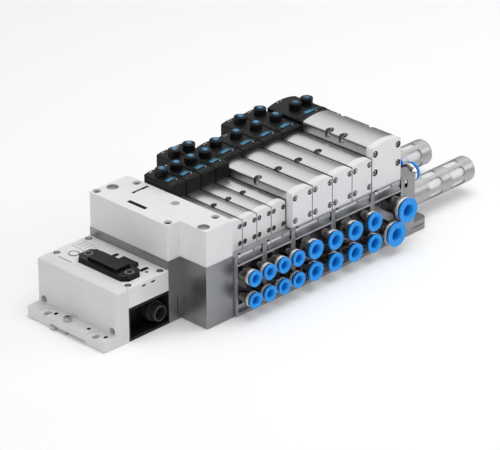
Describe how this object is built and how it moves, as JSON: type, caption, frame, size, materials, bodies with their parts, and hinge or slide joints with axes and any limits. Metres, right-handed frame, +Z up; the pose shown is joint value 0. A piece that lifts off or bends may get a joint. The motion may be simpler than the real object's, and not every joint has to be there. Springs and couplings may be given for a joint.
{
  "type": "pneumatic valve island",
  "caption": "Pneumatic valve island: bus node, adapter block and a row of solenoid valves on sub-bases, with push-in ports, override buttons and exhaust silencers.",
  "frame": {"origin": "centre of the four mounting slots of the feet, on the mounting plane", "axes": "+X along the valve row towards the silencers, +Y from the working ports to the pilot heads, +Z up from the mounting plane"},
  "size_m": [0.4851, 0.1701, 0.1195],
  "materials": {
    "light_casting": "satin light grey",
    "node_plastic": "fine matt light grey",
    "black_plastic": "matt black",
    "dark_cover": "semi-gloss black",
    "block_metal": "satin grey",
    "white_plastic": "fine matt white",
    "body_metal": "drawn satin aluminium",
    "nickel": "nickel-plated",
    "ring_blue": "glossy blue",
    "button_blue": "glossy blue",
    "sleeve_metal": "blasted aluminium",
    "porous_white": "porous white",
    "holder_grey": "smooth grey",
    "screw_steel": "bright zinc"
  },
  "bodies": {
    "island": {"left_end_plate": "light_casting", "node_housing": "node_plastic", "node_base": "black_plastic", "power_connector": "black_plastic", "narrow_pilot_heads": "black_plastic", "medium_pilot_heads": "black_plastic", "wide_pilot_head": "black_plastic", "switch_cover": "dark_cover", "adapter_body": "block_metal", "sub_bases": "block_metal", "right_end_plate": "block_metal", "adapter_cover": "white_plastic", "narrow_end_caps": "white_plastic", "medium_end_caps": "white_plastic", "wide_end_cap": "white_plastic", "narrow_valve_bodies": "body_metal", "medium_valve_bodies": "body_metal", "wide_valve_body": "body_metal", "narrow_fittings": "nickel", "medium_fittings": "nickel", "wide_fittings": "nickel", "silencer_shells": "sleeve_metal", "silencer_cores": "porous_white", "label_holders": "holder_grey", "screws": "screw_steel", "rail_clamp": "screw_steel"},
    "button_1_front": {"override_button_1_front": "button_blue"},
    "button_2_front": {"override_button_2_front": "button_blue"},
    "button_3_front": {"override_button_3_front": "button_blue"},
    "button_3_rear": {"override_button_3_rear": "button_blue"},
    "button_4_front": {"override_button_4_front": "button_blue"},
    "button_4_rear": {"override_button_4_rear": "button_blue"},
    "button_5_front": {"override_button_5_front": "button_blue"},
    "button_6_front": {"override_button_6_front": "button_blue"},
    "button_7_front": {"override_button_7_front": "button_blue"},
    "button_7_rear": {"override_button_7_rear": "button_blue"},
    "button_8_front": {"override_button_8_front": "button_blue"},
    "button_8_rear": {"override_button_8_rear": "button_blue"},
    "button_9_left": {"override_button_9_left": "button_blue"},
    "button_9_right": {"override_button_9_right": "button_blue"},
    "ring_1_lower": {"release_ring_1_lower": "ring_blue"},
    "ring_1_upper": {"release_ring_1_upper": "ring_blue"},
    "ring_2_lower": {"release_ring_2_lower": "ring_blue"},
    "ring_2_upper": {"release_ring_2_upper": "ring_blue"},
    "ring_3_lower": {"release_ring_3_lower": "ring_blue"},
    "ring_3_upper": {"release_ring_3_upper": "ring_blue"},
    "ring_4_lower": {"release_ring_4_lower": "ring_blue"},
    "ring_4_upper": {"release_ring_4_upper": "ring_blue"},
    "ring_5_lower": {"release_ring_5_lower": "ring_blue"},
    "ring_5_upper": {"release_ring_5_upper": "ring_blue"},
    "ring_6_lower": {"release_ring_6_lower": "ring_blue"},
    "ring_6_upper": {"release_ring_6_upper": "ring_blue"},
    "ring_7_lower": {"release_ring_7_lower": "ring_blue"},
    "ring_7_upper": {"release_ring_7_upper": "ring_blue"},
    "ring_8_lower": {"release_ring_8_lower": "ring_blue"},
    "ring_8_upper": {"release_ring_8_upper": "ring_blue"},
    "ring_9_lower": {"release_ring_9_lower": "ring_blue"},
    "ring_9_upper": {"release_ring_9_upper": "ring_blue"},
    "supply_ring_rear": {"supply_release_ring_rear": "ring_blue"},
    "supply_ring_front": {"supply_release_ring_front": "ring_blue"}
  },
  "joints": [
    {"name": "button_1_front_press", "type": "slide", "parent": "island", "child": "button_1_front", "axis": [0, 0, -1], "range_m": [0, 0.0015], "stiffness_N_per_m": 1500, "springref_m": -0.0005},
    {"name": "button_2_front_press", "type": "slide", "parent": "island", "child": "button_2_front", "axis": [0, 0, -1], "range_m": [0, 0.0015], "stiffness_N_per_m": 1500, "springref_m": -0.0005},
    {"name": "button_3_front_press", "type": "slide", "parent": "island", "child": "button_3_front", "axis": [0, 0, -1], "range_m": [0, 0.0015], "stiffness_N_per_m": 1500, "springref_m": -0.0005},
    {"name": "button_3_rear_press", "type": "slide", "parent": "island", "child": "button_3_rear", "axis": [0, 0, -1], "range_m": [0, 0.0015], "stiffness_N_per_m": 1500, "springref_m": -0.0005},
    {"name": "button_4_front_press", "type": "slide", "parent": "island", "child": "button_4_front", "axis": [0, 0, -1], "range_m": [0, 0.0015], "stiffness_N_per_m": 1500, "springref_m": -0.0005},
    {"name": "button_4_rear_press", "type": "slide", "parent": "island", "child": "button_4_rear", "axis": [0, 0, -1], "range_m": [0, 0.0015], "stiffness_N_per_m": 1500, "springref_m": -0.0005},
    {"name": "button_5_front_press", "type": "slide", "parent": "island", "child": "button_5_front", "axis": [0, 0, -1], "range_m": [0, 0.0015], "stiffness_N_per_m": 1500, "springref_m": -0.0005},
    {"name": "button_6_front_press", "type": "slide", "parent": "island", "child": "button_6_front", "axis": [0, 0, -1], "range_m": [0, 0.0015], "stiffness_N_per_m": 1500, "springref_m": -0.0005},
    {"name": "button_7_front_press", "type": "slide", "parent": "island", "child": "button_7_front", "axis": [0, 0, -1], "range_m": [0, 0.0015], "stiffness_N_per_m": 1500, "springref_m": -0.0005},
    {"name": "button_7_rear_press", "type": "slide", "parent": "island", "child": "button_7_rear", "axis": [0, 0, -1], "range_m": [0, 0.0015], "stiffness_N_per_m": 1500, "springref_m": -0.0005},
    {"name": "button_8_front_press", "type": "slide", "parent": "island", "child": "button_8_front", "axis": [0, 0, -1], "range_m": [0, 0.0015], "stiffness_N_per_m": 1500, "springref_m": -0.0005},
    {"name": "button_8_rear_press", "type": "slide", "parent": "island", "child": "button_8_rear", "axis": [0, 0, -1], "range_m": [0, 0.0015], "stiffness_N_per_m": 1500, "springref_m": -0.0005},
    {"name": "button_9_left_press", "type": "slide", "parent": "island", "child": "button_9_left", "axis": [0, 0, -1], "range_m": [0, 0.0015], "stiffness_N_per_m": 1500, "springref_m": -0.0005},
    {"name": "button_9_right_press", "type": "slide", "parent": "island", "child": "button_9_right", "axis": [0, 0, -1], "range_m": [0, 0.0015], "stiffness_N_per_m": 1500, "springref_m": -0.0005},
    {"name": "ring_1_lower_press", "type": "slide", "parent": "island", "child": "ring_1_lower", "axis": [0, 1, 0], "range_m": [0, 0.0013], "stiffness_N_per_m": 1500, "springref_m": -0.0005},
    {"name": "ring_1_upper_press", "type": "slide", "parent": "island", "child": "ring_1_upper", "axis": [0, 1, 0], "range_m": [0, 0.0013], "stiffness_N_per_m": 1500, "springref_m": -0.0005},
    {"name": "ring_2_lower_press", "type": "slide", "parent": "island", "child": "ring_2_lower", "axis": [0, 1, 0], "range_m": [0, 0.0013], "stiffness_N_per_m": 1500, "springref_m": -0.0005},
    {"name": "ring_2_upper_press", "type": "slide", "parent": "island", "child": "ring_2_upper", "axis": [0, 1, 0], "range_m": [0, 0.0013], "stiffness_N_per_m": 1500, "springref_m": -0.0005},
    {"name": "ring_3_lower_press", "type": "slide", "parent": "island", "child": "ring_3_lower", "axis": [0, 1, 0], "range_m": [0, 0.0013], "stiffness_N_per_m": 1500, "springref_m": -0.0005},
    {"name": "ring_3_upper_press", "type": "slide", "parent": "island", "child": "ring_3_upper", "axis": [0, 1, 0], "range_m": [0, 0.0013], "stiffness_N_per_m": 1500, "springref_m": -0.0005},
    {"name": "ring_4_lower_press", "type": "slide", "parent": "island", "child": "ring_4_lower", "axis": [0, 1, 0], "range_m": [0, 0.0013], "stiffness_N_per_m": 1500, "springref_m": -0.0005},
    {"name": "ring_4_upper_press", "type": "slide", "parent": "island", "child": "ring_4_upper", "axis": [0, 1, 0], "range_m": [0, 0.0013], "stiffness_N_per_m": 1500, "springref_m": -0.0005},
    {"name": "ring_5_lower_press", "type": "slide", "parent": "island", "child": "ring_5_lower", "axis": [0, 1, 0], "range_m": [0, 0.0013], "stiffness_N_per_m": 1500, "springref_m": -0.0005},
    {"name": "ring_5_upper_press", "type": "slide", "parent": "island", "child": "ring_5_upper", "axis": [0, 1, 0], "range_m": [0, 0.0013], "stiffness_N_per_m": 1500, "springref_m": -0.0005},
    {"name": "ring_6_lower_press", "type": "slide", "parent": "island", "child": "ring_6_lower", "axis": [0, 1, 0], "range_m": [0, 0.0013], "stiffness_N_per_m": 1500, "springref_m": -0.0005},
    {"name": "ring_6_upper_press", "type": "slide", "parent": "island", "child": "ring_6_upper", "axis": [0, 1, 0], "range_m": [0, 0.0013], "stiffness_N_per_m": 1500, "springref_m": -0.0005},
    {"name": "ring_7_lower_press", "type": "slide", "parent": "island", "child": "ring_7_lower", "axis": [0, 1, 0], "range_m": [0, 0.0013], "stiffness_N_per_m": 1500, "springref_m": -0.0005},
    {"name": "ring_7_upper_press", "type": "slide", "parent": "island", "child": "ring_7_upper", "axis": [0, 1, 0], "range_m": [0, 0.0013], "stiffness_N_per_m": 1500, "springref_m": -0.0005},
    {"name": "ring_8_lower_press", "type": "slide", "parent": "island", "child": "ring_8_lower", "axis": [0, 1, 0], "range_m": [0, 0.0013], "stiffness_N_per_m": 1500, "springref_m": -0.0005},
    {"name": "ring_8_upper_press", "type": "slide", "parent": "island", "child": "ring_8_upper", "axis": [0, 1, 0], "range_m": [0, 0.0013], "stiffness_N_per_m": 1500, "springref_m": -0.0005},
    {"name": "ring_9_lower_press", "type": "slide", "parent": "island", "child": "ring_9_lower", "axis": [0, 1, 0], "range_m": [0, 0.0013], "stiffness_N_per_m": 1500, "springref_m": -0.0005},
    {"name": "ring_9_upper_press", "type": "slide", "parent": "island", "child": "ring_9_upper", "axis": [0, 1, 0], "range_m": [0, 0.0013], "stiffness_N_per_m": 1500, "springref_m": -0.0005},
    {"name": "supply_ring_rear_press", "type": "slide", "parent": "island", "child": "supply_ring_rear", "axis": [-1, 0, 0], "range_m": [0, 0.0013], "stiffness_N_per_m": 1500, "springref_m": -0.0005},
    {"name": "supply_ring_front_press", "type": "slide", "parent": "island", "child": "supply_ring_front", "axis": [-1, 0, 0], "range_m": [0, 0.0013], "stiffness_N_per_m": 1500, "springref_m": -0.0005}
  ]
}
